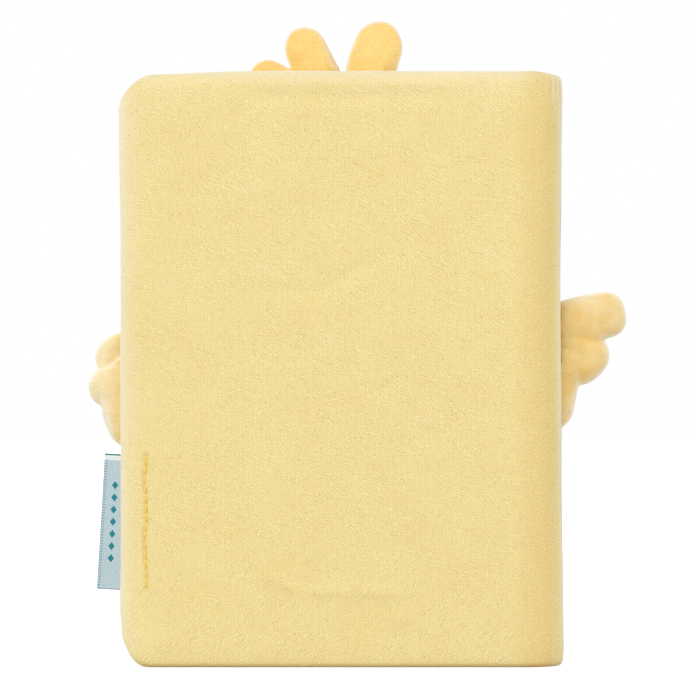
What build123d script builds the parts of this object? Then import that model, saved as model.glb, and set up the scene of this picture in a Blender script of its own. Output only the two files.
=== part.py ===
import os
from math import cos, radians, sin

from build123d import *

os.makedirs("parts", exist_ok=True)

# Frame: the notebook stands on z = 0, its spine is a half round about the Z axis,
# the covers reach along -X, the back cover faces -Y and the front cover faces +Y
BACK = -1
FRONT = 1

# Text block of A5 leaves
PAGE_WIDTH = 148.0
PAGE_HEIGHT = 210.0
PAGE_CORNER_RADIUS = 8.0
BLOCK_THICKNESS = 12.0
FLYLEAF_THICKNESS = 0.2
LINING_THICKNESS = 0.4
BAND_RADIUS = 0.9
BAND_SKIRT = 9.0
BAND_SIDE_MARGIN = 0.6

# How the block hangs in the case
HEAD_SQUARE = 2.5
FORE_SQUARE = 4.0
HOLLOW_BACK = 4.4
COVER_CLEARANCE = 0.3
JOINT_GAP = 0.5

# Layers of a cover, from the outside inward
PLUSH_THICKNESS = 1.6
PADDING_THICKNESS = 2.5
BOARD_THICKNESS = 2.0
TURN_IN_THICKNESS = 1.4
TURN_IN_MARGIN = 3.0
BOARD_JOINT_MARGIN = 6.0
PASTEDOWN_THICKNESS = 0.3
PASTEDOWN_MARGIN = 4.0
FIT_GAP = 0.1

# Rounding of a cover
CORNER_RADIUS = 13.0
PADDING_ROUND_SHARE = 0.9
TURNED_EDGE_RADIUS = 1.0

# Spine case
STRIP_THICKNESS = 1.0
SPINE_TURN_IN = 14.0
SPINE_EDGE_RADIUS = 2.4
SPINE_TURNED_RADIUS = 0.6
STRIP_JOINT_MARGIN = 3.0

# Label and its stitches
LABEL_LENGTH = 49.0
LABEL_SEAM = 2.2
LABEL_REACH = 6.5
LABEL_PLY = 0.25
LABEL_FOLD_GAP = 0.1
LABEL_HEIGHT = 52.6
LABEL_LEAN_DEG = 3.4
STITCH_INSET = 9.8
STITCH_ROW_LENGTH = 47.3
STITCH_COUNT = 14
STITCH_LENGTH = 2.8
STITCH_WIDTH = 0.9
STITCH_THICKNESS = 0.6
STITCH_EDGE_RADIUS = 0.25
CHANNEL_WIDTH = 2.4
CHANNEL_DEPTH = 0.9

# Stuffed feathers: each row gives length, width, thickness, then the place along X, Y and Z
SEW_GAP = 0.2
FEATHER_ROUND_SHARE = 0.46
WING_LENGTH = 30.0
WING_THICKNESS = 9.5
SPINE_WING_HEIGHT = 110.0
SPINE_WING_FORWARD = 7.0
SPINE_WING_SHARES = (
    (0.89, 0.56, 0.94, 0.31, 0.00, 0.52),
    (0.79, 0.70, 1.00, 0.17, 0.03, 0.11),
    (1.01, 0.52, 0.90, -0.08, -0.04, -0.34),
)
SPINE_WING_LEANS_DEG = (12, -50, -100)
FORE_WING_HEIGHT = 102.0
FORE_WING_SEAT = 3.2
FORE_WING_SHARES = (
    (0.69, 0.53, 0.86, 0.05, 0.06, 0.34),
    (0.73, 0.49, 0.92, -0.03, 0.02, 0.04),
    (1.11, 0.62, 1.00, 0.07, -0.05, -0.23),
)
FORE_WING_LEANS_DEG = (12, 34, -64)
TUFT_LENGTH = 30.0
TUFT_THICKNESS = 10.0
TUFT_SEAT = 2.6
TUFT_SHARES = (
    (1.06, 0.64, 1.00, 0.38, 0.00, 0.09),
    (0.97, 0.52, 0.92, -0.33, 0.04, 0.08),
    (0.83, 0.47, 0.80, -0.73, 0.02, -0.18),
    (1.25, 0.46, 0.86, -0.12, 0.07, -0.34),
)
TUFT_LEANS_DEG = (73, 117, 147, 176)

# Sizes that follow from those above
cover_thickness = PLUSH_THICKNESS + PADDING_THICKNESS + BOARD_THICKNESS + TURN_IN_THICKNESS
inner_face = BLOCK_THICKNESS / 2 + FLYLEAF_THICKNESS + COVER_CLEARANCE
spine_radius = inner_face + cover_thickness
cover_height = PAGE_HEIGHT + 2 * HEAD_SQUARE
strip_outer = spine_radius - PLUSH_THICKNESS
strip_inner = strip_outer - STRIP_THICKNESS
spine_wall = PLUSH_THICKNESS + STRIP_THICKNESS + TURN_IN_THICKNESS
spine_inner = spine_radius - spine_wall
block_back = spine_inner - HOLLOW_BACK
cover_reach = PAGE_WIDTH + FORE_SQUARE - block_back
cover_middle = (spine_radius - cover_reach) / 2
joint_edge = JOINT_GAP / 2
block_fore_edge = block_back - PAGE_WIDTH
block_top = HEAD_SQUARE + PAGE_HEIGHT
padding_round = PADDING_ROUND_SHARE * PADDING_THICKNESS
label_depth = 2 * LABEL_PLY + LABEL_FOLD_GAP + FIT_GAP
label_width = LABEL_REACH + STITCH_INSET + LABEL_SEAM
turn_in_width = STITCH_INSET + LABEL_SEAM + TURN_IN_MARGIN


def face_plane(side, depth):
    return Plane.XZ.offset(-side * (inner_face + depth))


def outward(side):
    return Axis((0, 0, 0), (0, side, 0))


def cover_sheet(inset, joint_inset):
    with BuildSketch() as sheet:
        width = cover_reach - inset - joint_inset - joint_edge
        with Locations((inset - cover_reach + width / 2, cover_height / 2)):
            Rectangle(width, cover_height - 2 * inset)
        fillet(sheet.vertices().group_by(Axis.X)[0], max(CORNER_RADIUS - inset, TURNED_EDGE_RADIUS))
    return sheet.sketch


def cover_layer(side, depth, thickness, inset, joint_inset):
    with BuildPart() as layer:
        with BuildSketch(face_plane(side, depth)):
            add(cover_sheet(inset, joint_inset))
        extrude(amount=-side * thickness)
    return layer.part


def pocket_core(side, depth, thickness, inset):
    core = cover_layer(side, depth, thickness, inset, inset)
    with BuildPart() as rounded:
        add(core)
        outer = rounded.faces().sort_by(outward(side))[-1]
        fillet(outer.edges().sort_by(Axis.X)[:-1], padding_round)
    return rounded.part


def cover_skin(side):
    slab = cover_layer(side, 0, cover_thickness, 0, 0)
    pocket = pocket_core(side, TURN_IN_THICKNESS, BOARD_THICKNESS + PADDING_THICKNESS, PLUSH_THICKNESS)
    opening = cover_layer(side, 0, TURN_IN_THICKNESS, turn_in_width, turn_in_width)
    rebate = cover_layer(side, 0, PASTEDOWN_THICKNESS, PASTEDOWN_MARGIN, 0)
    with BuildPart() as skin:
        add(slab)
        outer = skin.faces().sort_by(outward(side))[-1]
        fillet(outer.edges().sort_by(Axis.X)[:-1], PLUSH_THICKNESS + padding_round)
        inner = skin.faces().sort_by(outward(side))[0]
        fillet(inner.edges().sort_by(Axis.X)[:-1], TURNED_EDGE_RADIUS)
        add(pocket, mode=Mode.SUBTRACT)
        add(opening, mode=Mode.SUBTRACT)
        add(rebate, mode=Mode.SUBTRACT)
    return skin.part


def feathers(shares, leans, size, thickness, x, y, z):
    lobes = []
    for row, lean in zip(shares, leans):
        length_share, width_share, thickness_share, along_share, forward_share, up_share = row
        place = (x + along_share * size, y + forward_share * size, z + up_share * size)
        with BuildPart() as lobe:
            with BuildSketch(Plane.XZ):
                SlotOverall(length_share * size, width_share * size)
            extrude(amount=thickness_share * thickness / 2, both=True)
            rims = lobe.faces().filter_by(Axis.Y).edges()
            fillet(rims, FEATHER_ROUND_SHARE * thickness_share * thickness)
        lobes.append(lobe.part.moved(Location(place, (0, -lean, 0))))
    return lobes


# Text block with its endpapers, lining and bands
with BuildPart() as text_block:
    with BuildSketch(Plane.XY.offset(HEAD_SQUARE)):
        with Locations((block_fore_edge + PAGE_WIDTH / 2, 0)):
            Rectangle(PAGE_WIDTH, BLOCK_THICKNESS)
    extrude(amount=PAGE_HEIGHT)
    fillet(text_block.edges().filter_by(Axis.Y).group_by(Axis.X)[0], PAGE_CORNER_RADIUS)
text_block.part.label = "text_block"
export_step(text_block.part, "parts/text_block.step")

for side, name in ((BACK, "back"), (FRONT, "front")):
    flyleaf_y = side * (BLOCK_THICKNESS + FLYLEAF_THICKNESS) / 2
    with BuildPart() as flyleaf:
        with BuildSketch(Plane.XY.offset(HEAD_SQUARE)):
            with Locations((block_fore_edge + PAGE_WIDTH / 2, flyleaf_y)):
                Rectangle(PAGE_WIDTH, FLYLEAF_THICKNESS)
        extrude(amount=PAGE_HEIGHT)
        fillet(flyleaf.edges().filter_by(Axis.Y).group_by(Axis.X)[0], PAGE_CORNER_RADIUS)
    flyleaf.part.label = name + "_flyleaf"
    export_step(flyleaf.part, "parts/" + name + "_flyleaf.step")

with BuildPart() as spine_lining:
    with BuildSketch(Plane.XY.offset(HEAD_SQUARE + BAND_SKIRT + FIT_GAP)):
        with Locations((block_back + LINING_THICKNESS / 2, 0)):
            Rectangle(LINING_THICKNESS, BLOCK_THICKNESS)
    extrude(amount=PAGE_HEIGHT - 2 * (BAND_SKIRT + FIT_GAP))
spine_lining.part.label = "spine_lining"
export_step(spine_lining.part, "parts/spine_lining.step")

band_length = BLOCK_THICKNESS - 2 * BAND_SIDE_MARGIN
for name, end, inward in (("head_band", block_top, -1), ("tail_band", HEAD_SQUARE, 1)):
    with BuildPart() as band:
        with BuildSketch(Plane.XZ):
            with Locations((block_back + LINING_THICKNESS / 2, end + inward * BAND_SKIRT / 2)):
                Rectangle(LINING_THICKNESS, BAND_SKIRT)
            with Locations((block_back + BAND_RADIUS, end)):
                Circle(BAND_RADIUS)
        extrude(amount=band_length / 2, both=True)
    band.part.label = name
    export_step(band.part, "parts/" + name + ".step")

# Spine: a half round of plush over a bent card, turned in at head and tail
spine_plane = Plane(origin=(0, 0, 0), x_dir=(0, -1, 0), z_dir=(-1, 0, 0))
with BuildPart() as spine_plush:
    with BuildSketch(spine_plane) as wall:
        with Locations((spine_inner + spine_wall / 2, cover_height / 2)):
            Rectangle(spine_wall, cover_height)
        fillet(wall.vertices().group_by(Axis.X)[-1], SPINE_EDGE_RADIUS)
        fillet(wall.vertices().group_by(Axis.X)[0], SPINE_TURNED_RADIUS)
        with Locations(((strip_outer + strip_inner) / 2, cover_height / 2)):
            Rectangle(STRIP_THICKNESS, cover_height - 2 * PLUSH_THICKNESS, mode=Mode.SUBTRACT)
        with Locations(((spine_inner + strip_inner) / 2, cover_height / 2)):
            Rectangle(TURN_IN_THICKNESS, cover_height - 2 * SPINE_TURN_IN, mode=Mode.SUBTRACT)
    revolve(axis=Axis.Z, revolution_arc=180)
    split(bisect_by=Plane.YZ.offset(joint_edge))
spine_plush.part.label = "spine_plush"
export_step(spine_plush.part, "parts/spine_plush.step")

with BuildPart() as spine_strip:
    with BuildSketch(spine_plane):
        with Locations(((strip_outer + strip_inner) / 2, cover_height / 2)):
            Rectangle(STRIP_THICKNESS - 2 * FIT_GAP, cover_height - 2 * (PLUSH_THICKNESS + FIT_GAP))
    revolve(axis=Axis.Z, revolution_arc=180)
    split(bisect_by=Plane.YZ.offset(STRIP_JOINT_MARGIN))
spine_strip.part.label = "spine_strip"
export_step(spine_strip.part, "parts/spine_strip.step")

# Layers inside each cover
layer_inset = PLUSH_THICKNESS + FIT_GAP
infill_inset = turn_in_width + FIT_GAP
infill_thickness = TURN_IN_THICKNESS - PASTEDOWN_THICKNESS
for side, name in ((BACK, "back"), (FRONT, "front")):
    foam = pocket_core(side, TURN_IN_THICKNESS + BOARD_THICKNESS, PADDING_THICKNESS, layer_inset)
    with BuildPart() as padding:
        add(foam)
    padding.part.label = name + "_padding"
    export_step(padding.part, "parts/" + name + "_padding.step")

    with BuildPart() as board:
        with BuildSketch(face_plane(side, TURN_IN_THICKNESS)):
            add(cover_sheet(layer_inset, BOARD_JOINT_MARGIN))
        extrude(amount=-side * BOARD_THICKNESS)
    board.part.label = name + "_board"
    export_step(board.part, "parts/" + name + "_board.step")

    with BuildPart() as infill:
        with BuildSketch(face_plane(side, PASTEDOWN_THICKNESS)):
            add(cover_sheet(infill_inset, infill_inset))
        extrude(amount=-side * infill_thickness)
    infill.part.label = name + "_infill"
    export_step(infill.part, "parts/" + name + "_infill.step")

    with BuildPart() as pastedown:
        with BuildSketch(face_plane(side, 0)):
            add(cover_sheet(PASTEDOWN_MARGIN + FIT_GAP, 0))
        extrude(amount=-side * PASTEDOWN_THICKNESS)
    pastedown.part.label = name + "_pastedown"
    export_step(pastedown.part, "parts/" + name + "_pastedown.step")

# Label: one ribbon folded round, its ends between the back turn-in and the pastedown
lean = radians(LABEL_LEAN_DEG)
label_y = -(inner_face + PASTEDOWN_THICKNESS + label_depth / 2)
label_plane = Plane(
    origin=(-cover_reach - LABEL_REACH, label_y, LABEL_HEIGHT),
    x_dir=(cos(lean), 0, -sin(lean)),
    z_dir=(sin(lean), 0, cos(lean)),
)
fold_radius = (LABEL_PLY + LABEL_FOLD_GAP) / 2
with BuildPart() as label:
    with BuildSketch(label_plane):
        with BuildLine():
            Line((label_width, fold_radius), (fold_radius, fold_radius))
            ThreePointArc((fold_radius, fold_radius), (0, 0), (fold_radius, -fold_radius))
            Line((fold_radius, -fold_radius), (label_width, -fold_radius))
        trace(line_width=LABEL_PLY)
    extrude(amount=LABEL_LENGTH / 2, both=True)
label.part.label = "label"
export_step(label.part, "parts/label.step")

# Plush of the covers: the back one has the slit for the label and the sunk seam
back_skin = cover_skin(BACK)
stitch_plane = Plane.XZ.offset(spine_radius)
stitch_x = STITCH_INSET - cover_reach
with BuildPart() as back_plush:
    add(back_skin)
    with BuildSketch(label_plane):
        with Locations(((label_width + FIT_GAP) / 2, 0)):
            Rectangle(label_width + FIT_GAP, label_depth)
    extrude(amount=LABEL_LENGTH / 2 + FIT_GAP, both=True, mode=Mode.SUBTRACT)
    with BuildSketch(stitch_plane):
        with Locations((stitch_x, LABEL_HEIGHT)):
            SlotOverall(STITCH_ROW_LENGTH + CHANNEL_WIDTH, CHANNEL_WIDTH, rotation=90)
    extrude(amount=-CHANNEL_DEPTH, mode=Mode.SUBTRACT)
back_plush.part.label = "back_plush"
export_step(back_plush.part, "parts/back_plush.step")

front_skin = cover_skin(FRONT)
with BuildPart() as front_plush:
    add(front_skin)
front_plush.part.label = "front_plush"
export_step(front_plush.part, "parts/front_plush.step")

with BuildPart() as label_stitches:
    with BuildSketch(stitch_plane.offset(-CHANNEL_DEPTH)):
        with Locations((stitch_x, LABEL_HEIGHT)):
            with GridLocations(0, STITCH_ROW_LENGTH / STITCH_COUNT, 1, STITCH_COUNT):
                SlotOverall(STITCH_LENGTH, STITCH_WIDTH, rotation=90)
    extrude(amount=STITCH_THICKNESS)
    fillet(label_stitches.faces().group_by(Axis.Y)[0].edges(), STITCH_EDGE_RADIUS)
label_stitches.part.label = "label_stitches"
export_step(label_stitches.part, "parts/label_stitches.step")

# Spine wing, hollowed to sit on the half round of the spine
spine_wing_lobes = feathers(
    SPINE_WING_SHARES,
    SPINE_WING_LEANS_DEG,
    WING_LENGTH,
    WING_THICKNESS,
    spine_radius,
    SPINE_WING_FORWARD,
    SPINE_WING_HEIGHT,
)
with BuildPart() as spine_wing:
    add(spine_wing_lobes)
    with BuildSketch(Plane.XY):
        Circle(spine_radius + SEW_GAP)
    extrude(amount=cover_height, mode=Mode.SUBTRACT)
spine_wing.part.label = "spine_wing"
export_step(spine_wing.part, "parts/spine_wing.step")

# Fore-edge wing and tuft, cut to lie on the front cover and past its edges
front_face = spine_radius + SEW_GAP
with BuildPart() as seat:
    with BuildSketch(Plane.XY):
        with Locations(((spine_radius - cover_reach - SEW_GAP) / 2, 0)):
            Rectangle(cover_reach + spine_radius + SEW_GAP, 2 * front_face)
    extrude(amount=cover_height + SEW_GAP)

fore_wing_lobes = feathers(
    FORE_WING_SHARES,
    FORE_WING_LEANS_DEG,
    WING_LENGTH,
    WING_THICKNESS,
    -cover_reach,
    front_face + FORE_WING_SEAT,
    FORE_WING_HEIGHT,
)
with BuildPart() as fore_wing:
    add(fore_wing_lobes)
    add(seat.part, mode=Mode.SUBTRACT)
fore_wing.part.label = "fore_wing"
export_step(fore_wing.part, "parts/fore_wing.step")

tuft_lobes = feathers(
    TUFT_SHARES,
    TUFT_LEANS_DEG,
    TUFT_LENGTH,
    TUFT_THICKNESS,
    cover_middle,
    front_face + TUFT_SEAT,
    cover_height,
)
with BuildPart() as tuft:
    add(tuft_lobes)
    add(seat.part, mode=Mode.SUBTRACT)
tuft.part.label = "tuft"
export_step(tuft.part, "parts/tuft.step")
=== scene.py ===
import math

import bpy
import numpy as np
from mathutils import Matrix, Vector, noise


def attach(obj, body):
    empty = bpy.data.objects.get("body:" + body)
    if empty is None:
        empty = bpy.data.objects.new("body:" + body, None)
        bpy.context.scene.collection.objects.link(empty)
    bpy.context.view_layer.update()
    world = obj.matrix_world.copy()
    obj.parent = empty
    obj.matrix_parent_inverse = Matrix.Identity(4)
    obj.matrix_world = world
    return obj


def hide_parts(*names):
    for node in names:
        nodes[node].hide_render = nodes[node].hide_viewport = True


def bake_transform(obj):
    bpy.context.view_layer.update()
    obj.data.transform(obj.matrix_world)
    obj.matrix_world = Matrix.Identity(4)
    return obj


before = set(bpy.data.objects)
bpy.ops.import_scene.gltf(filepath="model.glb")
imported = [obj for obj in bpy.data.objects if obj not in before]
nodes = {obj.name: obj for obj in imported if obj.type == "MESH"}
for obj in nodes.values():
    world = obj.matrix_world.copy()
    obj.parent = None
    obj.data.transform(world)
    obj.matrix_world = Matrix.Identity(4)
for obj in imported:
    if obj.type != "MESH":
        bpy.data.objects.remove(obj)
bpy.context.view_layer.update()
print("frame loaded:", len(nodes), "CAD nodes")

mm = 0.001


def linear(hexCode):
    parts = [int(hexCode[i:i + 2], 16) / 255 for i in (0, 2, 4)]
    return tuple(c / 12.92 if c <= 0.04045 else ((c + 0.055) / 1.055) ** 2.4 for c in parts) + (1.0,)


# one node with its settings; an input takes a value or another node's output, a ramp takes its stops
def addNode(tree, kind, inputs=None, stops=(), **settings):
    node = tree.nodes.new(kind)
    for name, value in settings.items():
        setattr(node, name, value)
    for socket, source in (inputs or {}).items():
        if isinstance(source, bpy.types.NodeSocket):
            tree.links.new(source, node.inputs[socket])
        else:
            node.inputs[socket].default_value = source
    for i, (place, hexCode) in enumerate(stops):
        if i >= len(node.color_ramp.elements):
            node.color_ramp.elements.new(place)
        node.color_ramp.elements[i].position = place
        node.color_ramp.elements[i].color = linear(hexCode)
    return node


def newMaterial(name, **surface):
    material = bpy.data.materials.new(name)
    material.use_nodes = True
    tree = material.node_tree
    shader = tree.nodes["Principled BSDF"]
    for socket, value in surface.items():
        shader.inputs[socket.replace("_", " ")].default_value = value
    return material, tree, shader


# short-pile velour, knitted and sheared: fine leaning fibres over wales,
# and a painted pale sheen in the base colour where the pile turns away
def velour(name, look, mapName=None):
    material, tree, shader = newMaterial(
        name,
        Roughness=0.9,
        IOR=1.5,
        Specular_IOR_Level=0.15,
        Sheen_Weight=look["sheen"],
        Sheen_Roughness=look["sheenRoughness"],
        Sheen_Tint=linear(look["rim"]),
    )
    if mapName:
        place = addNode(tree, "ShaderNodeAttribute", attribute_name=mapName).outputs["Vector"]
    else:
        place = addNode(tree, "ShaderNodeTexCoord").outputs["Object"]
    # rows of fibre locks; real rows are about 0.6 mm apart, drawn a little coarser so that they show
    streaks = []
    for turn in look["lie"]:
        laid = addNode(tree, "ShaderNodeMapping", {
            "Vector": place,
            "Rotation": [math.radians(turn) * a for a in look["axis"]],
            "Scale": look["lock"],
        }, vector_type="TEXTURE")
        streaks.append(addNode(tree, "ShaderNodeTexWave", {
            "Vector": laid.outputs[0], "Scale": 1.0, "Distortion": look["ragged"],
            "Detail": 1.0, "Detail Scale": 2.6, "Detail Roughness": 0.6,
        }, bands_direction="X").outputs["Fac"])
    # patches where the pile was stroked the other way, more of them low on the cover
    patch = addNode(tree, "ShaderNodeTexNoise", {
        "Vector": place, "Scale": 1 / look["patch"], "Detail": 2.0, "Roughness": 0.55,
    }).outputs["Fac"]
    upright = addNode(tree, "ShaderNodeSeparateXYZ", {0: place}).outputs[look["upright"]]
    low = addNode(tree, "ShaderNodeMapRange", {
        "Value": upright, "From Min": 18 * mm, "From Max": 48 * mm, "To Min": 0.2, "To Max": 0.0,
    }).outputs["Result"]
    patch = addNode(tree, "ShaderNodeMath", {0: patch, 1: low}, operation="ADD").outputs[0]
    patch = addNode(tree, "ShaderNodeMapRange", {
        "Value": patch, "From Min": 0.53, "From Max": 0.66,
    }).outputs["Result"]
    pile = addNode(tree, "ShaderNodeMix", {0: patch, 2: streaks[0], 3: streaks[1]}).outputs[0]
    # the rows show more in some places than in others
    calm = addNode(tree, "ShaderNodeTexNoise", {
        "Vector": place, "Scale": 1 / look["calm"], "Detail": 1.0,
    }).outputs["Fac"]
    calm = addNode(tree, "ShaderNodeMapRange", {
        "Value": calm, "From Min": 0.35, "From Max": 0.65, "To Min": 0.3, "To Max": 1.0,
    }).outputs["Result"]
    pile = addNode(tree, "ShaderNodeMix", {0: calm, 2: 0.5, 3: pile}).outputs[0]
    # knitted wales under the pile, about 0.9 mm apart, and single tufts that stand up between them
    ribs = addNode(tree, "ShaderNodeMapping", {
        "Vector": place, "Scale": look["wale"],
    }, vector_type="TEXTURE")
    wale = addNode(tree, "ShaderNodeTexWave", {
        "Vector": ribs.outputs[0], "Scale": 1.0, "Distortion": 4.5, "Detail": 2.0, "Detail Scale": 3.0,
    }, bands_direction="X").outputs["Fac"]
    height = addNode(tree, "ShaderNodeMix", {0: look["waleShare"], 2: pile, 3: wale}).outputs[0]
    grit = addNode(tree, "ShaderNodeTexNoise", {
        "Vector": place, "Scale": 1 / look["grit"], "Detail": 0.0,
    }).outputs["Fac"]
    height = addNode(tree, "ShaderNodeMix", {0: look["gritShare"], 2: height, 3: grit}).outputs[0]
    if "nub" in look:  # stretched round the spine, the rows break up into nubs
        stretch = addNode(tree, "ShaderNodeAttribute", attribute_name="stretch").outputs["Fac"]
        nub = addNode(tree, "ShaderNodeTexNoise", {
            "Vector": place, "Scale": 1 / look["nub"], "Detail": 1.0,
        }).outputs["Fac"]
        nub = addNode(tree, "ShaderNodeMapRange", {
            "Value": nub, "From Min": 0.3, "From Max": 0.7,
        }).outputs["Result"]
        height = addNode(tree, "ShaderNodeMix", {0: stretch, 2: height, 3: nub}).outputs[0]
    shade = addNode(tree, "ShaderNodeValToRGB", {"Fac": height}, stops=look["tones"]).outputs["Color"]
    cloud = addNode(tree, "ShaderNodeTexNoise", {
        "Vector": place, "Scale": 1 / (22 * mm), "Detail": 3.0, "Roughness": 0.6,
    }).outputs["Fac"]
    cloudy = addNode(tree, "ShaderNodeValToRGB", {"Fac": cloud}, stops=look["cloud"]).outputs["Color"]
    colour = addNode(tree, "ShaderNodeMix", {
        0: 1.0, 6: shade, 7: cloudy,
    }, data_type="RGBA", blend_type="MULTIPLY").outputs[2]
    if "pale" in look:  # painted edge light: paler along the lit edges and on the crests of the gathers
        paintedEdgeLight = addNode(tree, "ShaderNodeAttribute", attribute_name="paintedEdgeLight").outputs["Fac"]
        colour = addNode(tree, "ShaderNodeMix", {
            0: paintedEdgeLight, 6: colour, 7: linear(look["pale"]),
        }, data_type="RGBA").outputs[2]
    # painted shade and bounce light: creases, the seam, roots, the spine and the foot are mixed towards a
    # warmer, deeper colour; on the feathers this also carries their own warm tone and mottling
    caught = addNode(tree, "ShaderNodeAttribute", attribute_name="warmToneAndShade").outputs["Fac"]
    colour = addNode(tree, "ShaderNodeMix", {
        0: caught, 6: colour, 7: linear(look["warm"]),
    }, data_type="RGBA").outputs[2]
    # painted sheen: where the pile is seen edge on, the base colour is mixed towards a nearly white tint
    facing = addNode(tree, "ShaderNodeLayerWeight", {"Blend": 0.5}).outputs["Facing"]
    paintedSheen = addNode(tree, "ShaderNodeMapRange", {
        "Value": facing, "From Min": look["rimFrom"], "From Max": look["rimTo"], "To Max": look["rimShare"],
    }, interpolation_type="SMOOTHSTEP").outputs["Result"]
    colour = addNode(tree, "ShaderNodeMix", {
        0: paintedSheen, 6: colour, 7: linear(look["rim"]),
    }, data_type="RGBA").outputs[2]
    tree.links.new(colour, shader.inputs["Base Color"])
    bump = addNode(tree, "ShaderNodeBump", {
        "Strength": look["bump"], "Distance": 0.4 * mm, "Height": height,
    })
    tree.links.new(bump.outputs[0], shader.inputs["Normal"])
    return material


# a wave texture repeats every 2 pi / 20 units, so a mapping scale of k * rowUnit sets its rows k mm apart
rowUnit = 20 / (2 * math.pi) * mm
coverVelour = velour("coverVelourShortPile", {
    "sheen": 0.5,
    "sheenRoughness": 0.3,
    "rim": "fdf7e2",
    "rimFrom": 0.4,
    "rimTo": 0.95,
    "rimShare": 0.75,
    "warm": "d4a02f",
    "pale": "f8f1dc",
    "lie": (62, -52),  # degrees, square to the rows
    "axis": (0, 0, 1),  # out of the cloth
    "lock": (0.78 * rowUnit, 1.2 * rowUnit, rowUnit),
    "ragged": 5.0,
    "calm": 3.5 * mm,
    "patch": 20 * mm,
    "upright": 1,  # which coordinate runs up
    "wale": (0.88 * rowUnit, 3.5 * rowUnit, rowUnit),
    "waleShare": 0.2,
    "grit": 0.3 * mm,
    "gritShare": 0.3,
    "nub": 0.5 * mm,
    "tones": ((0.22, "e2c97b"), (0.50, "f0dc9a"), (0.78, "faedbf")),
    "cloud": ((0.35, "fdfbf6"), (0.65, "ffffff")),
    "bump": 0.35,
}, "pileMap")

featherLook = {
    "sheen": 0.7,
    "sheenRoughness": 0.3,
    "rim": "fdf7e4",
    "rimFrom": 0.12,
    "rimTo": 0.6,
    "rimShare": 0.6,
    "lie": (-62, 70),
    "axis": (0, 1, 0),
    "lock": (0.9 * rowUnit, 2 * rowUnit, 1.3 * rowUnit),
    "ragged": 6.0,
    "calm": 3 * mm,
    "patch": 9 * mm,
    "upright": 2,
    "wale": (0.9 * rowUnit, 3 * rowUnit, 4 * rowUnit),
    "waleShare": 0.15,
    "grit": 0.6 * mm,
    "gritShare": 0.5,
    "cloud": ((0.35, "fbf7f0"), (0.65, "ffffff")),
    "bump": 0.35,
}
tuftVelour = velour("tuftVelourClipped", {
    **featherLook,
    "tones": ((0.25, "f4ce79"), (0.50, "fad98a"), (0.75, "fde3a1")),
    "warm": "f3c568",
})
wingVelour = velour("wingVelourClipped", {
    **featherLook,
    "rimFrom": 0.08,
    "rimTo": 0.55,
    "rimShare": 0.7,
    "tones": ((0.25, "eedba7"), (0.50, "f4e4b8"), (0.75, "f9eecb")),
    "warm": "e7bb5c",
    "bump": 0.5,
})
print("velours made")


def makeObject(name, points, faces, material):
    mesh = bpy.data.meshes.new(name)
    mesh.from_pydata([tuple(p) for p in points], [], faces)
    mesh.polygons.foreach_set("use_smooth", [True] * len(mesh.polygons))
    mesh.materials.append(material)
    mesh.update()
    piece = bpy.data.objects.new(name, mesh)
    bpy.context.scene.collection.objects.link(piece)
    return piece


# one value for each point of a mesh, for its material to read
def setPoints(mesh, name, values):
    mesh.attributes.new(name, "FLOAT", "POINT").data.foreach_set("value", values.astype(np.float32))


def smoothStep(low, high, value):
    t = np.clip((value - low) / (high - low), 0, 1)
    return t * t * (3 - 2 * t)


# padded case: one grid of velour per cover, over its edges and on to the middle of the spine
case = {
    "reach": 146.4,  # joint to fore edge
    "height": 215.0,
    "corner": 13.0,
    "spineRadius": 14.0,
    "coverThick": 7.5,
    "spineThick": 4.0,
    "coverRound": 5.2,  # soft outer edge
    "spineRound": 2.6,
    "footRound": 1.9,  # pressed sharper where it stands
    "hemRound": 1.1,
    "hemFlat": 3.4,  # plush seen inside the cover, beside the endpaper
    "hemTuck": 1.6,  # and what runs under the endpaper
    "hemDip": 0.45,
    "crown": 0.9,  # how far the padding falls towards the edges
    "crownWidth": 15.0,
    "headCorner": (0.04, 0.0),  # share that the soft corners give, and how much more towards the fore edge
    "footCorner": (0.02, 0.1),
    "footTaper": 0.8,  # how far the fore edge draws in above the foot
    "waist": 0.6,  # how far the fore edge draws in between its corners
    "sag": 1.2,  # drop of the head towards the fore edge
    "headSlope": 1.25,  # and round the spine
    "spineWaist": 0.8,  # how far the spine draws in above its middle
    "spineFoot": 0.5,  # and how much wider it stands at its foot
    "uneven": (0.12, 0.04),  # long and short waves of the cloth
    "pleat": (30, 0.35),  # gathers at the ends of the spine: how close, how high
    "step": 0.85,  # mesh of the back, with finer columns beside the seam
    "frontStep": 1.1,
    "seamStep": 0.42,
}
seam = {
    "x": -136.6,
    "low": 29.0,
    "high": 76.4,
    "fade": 2.5,  # beyond each end
    "depth": 0.8,
    "width": 0.7,
    "puff": 0.4,
    "count": 14,
}

# wrinkles of the back, each a soft ridge (+) or groove (-): ends in x, z, width and height
backFolds = (
    ((-98.0, 205.6), (-31.5, 205.6), 3.2, -0.75),  # dip under the head, with a crease at its end
    ((-98.6, 202.0), (-98.6, 213.0), 0.8, -0.35),
    ((-72.0, 136.4), (-57.5, 145.2), 3.2, -0.5),  # slanting dent in the middle, and folds that run from it
    ((-98.5, 136.8), (-74.0, 134.6), 3.0, -0.27),
    ((-76.8, 124.0), (-77.4, 112.0), 1.8, 0.3),
    ((-90.0, 106.6), (-78.4, 108.8), 1.2, 0.14),
    ((-53.8, 99.4), (-45.0, 103.8), 2.2, -0.32),
    ((-34.6, 87.7), (-32.0, 89.0), 3.0, 0.42),
    ((-96.2, 89.2), (-95.0, 90.0), 2.0, 0.25),
    ((-52.1, 101.0), (-52.1, 46.0), 1.8, -0.12),
    ((-91.1, 32.2), (-84.6, 28.9), 2.0, 0.4),  # where the padding ends above the foot
    ((-84.6, 28.9), (-73.8, 27.5), 2.2, 0.28),
    ((-73.8, 27.5), (-41.3, 26.7), 2.2, 0.42),
    ((-46.0, 17.4), (-42.5, 18.6), 3.4, 0.42),
)
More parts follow.
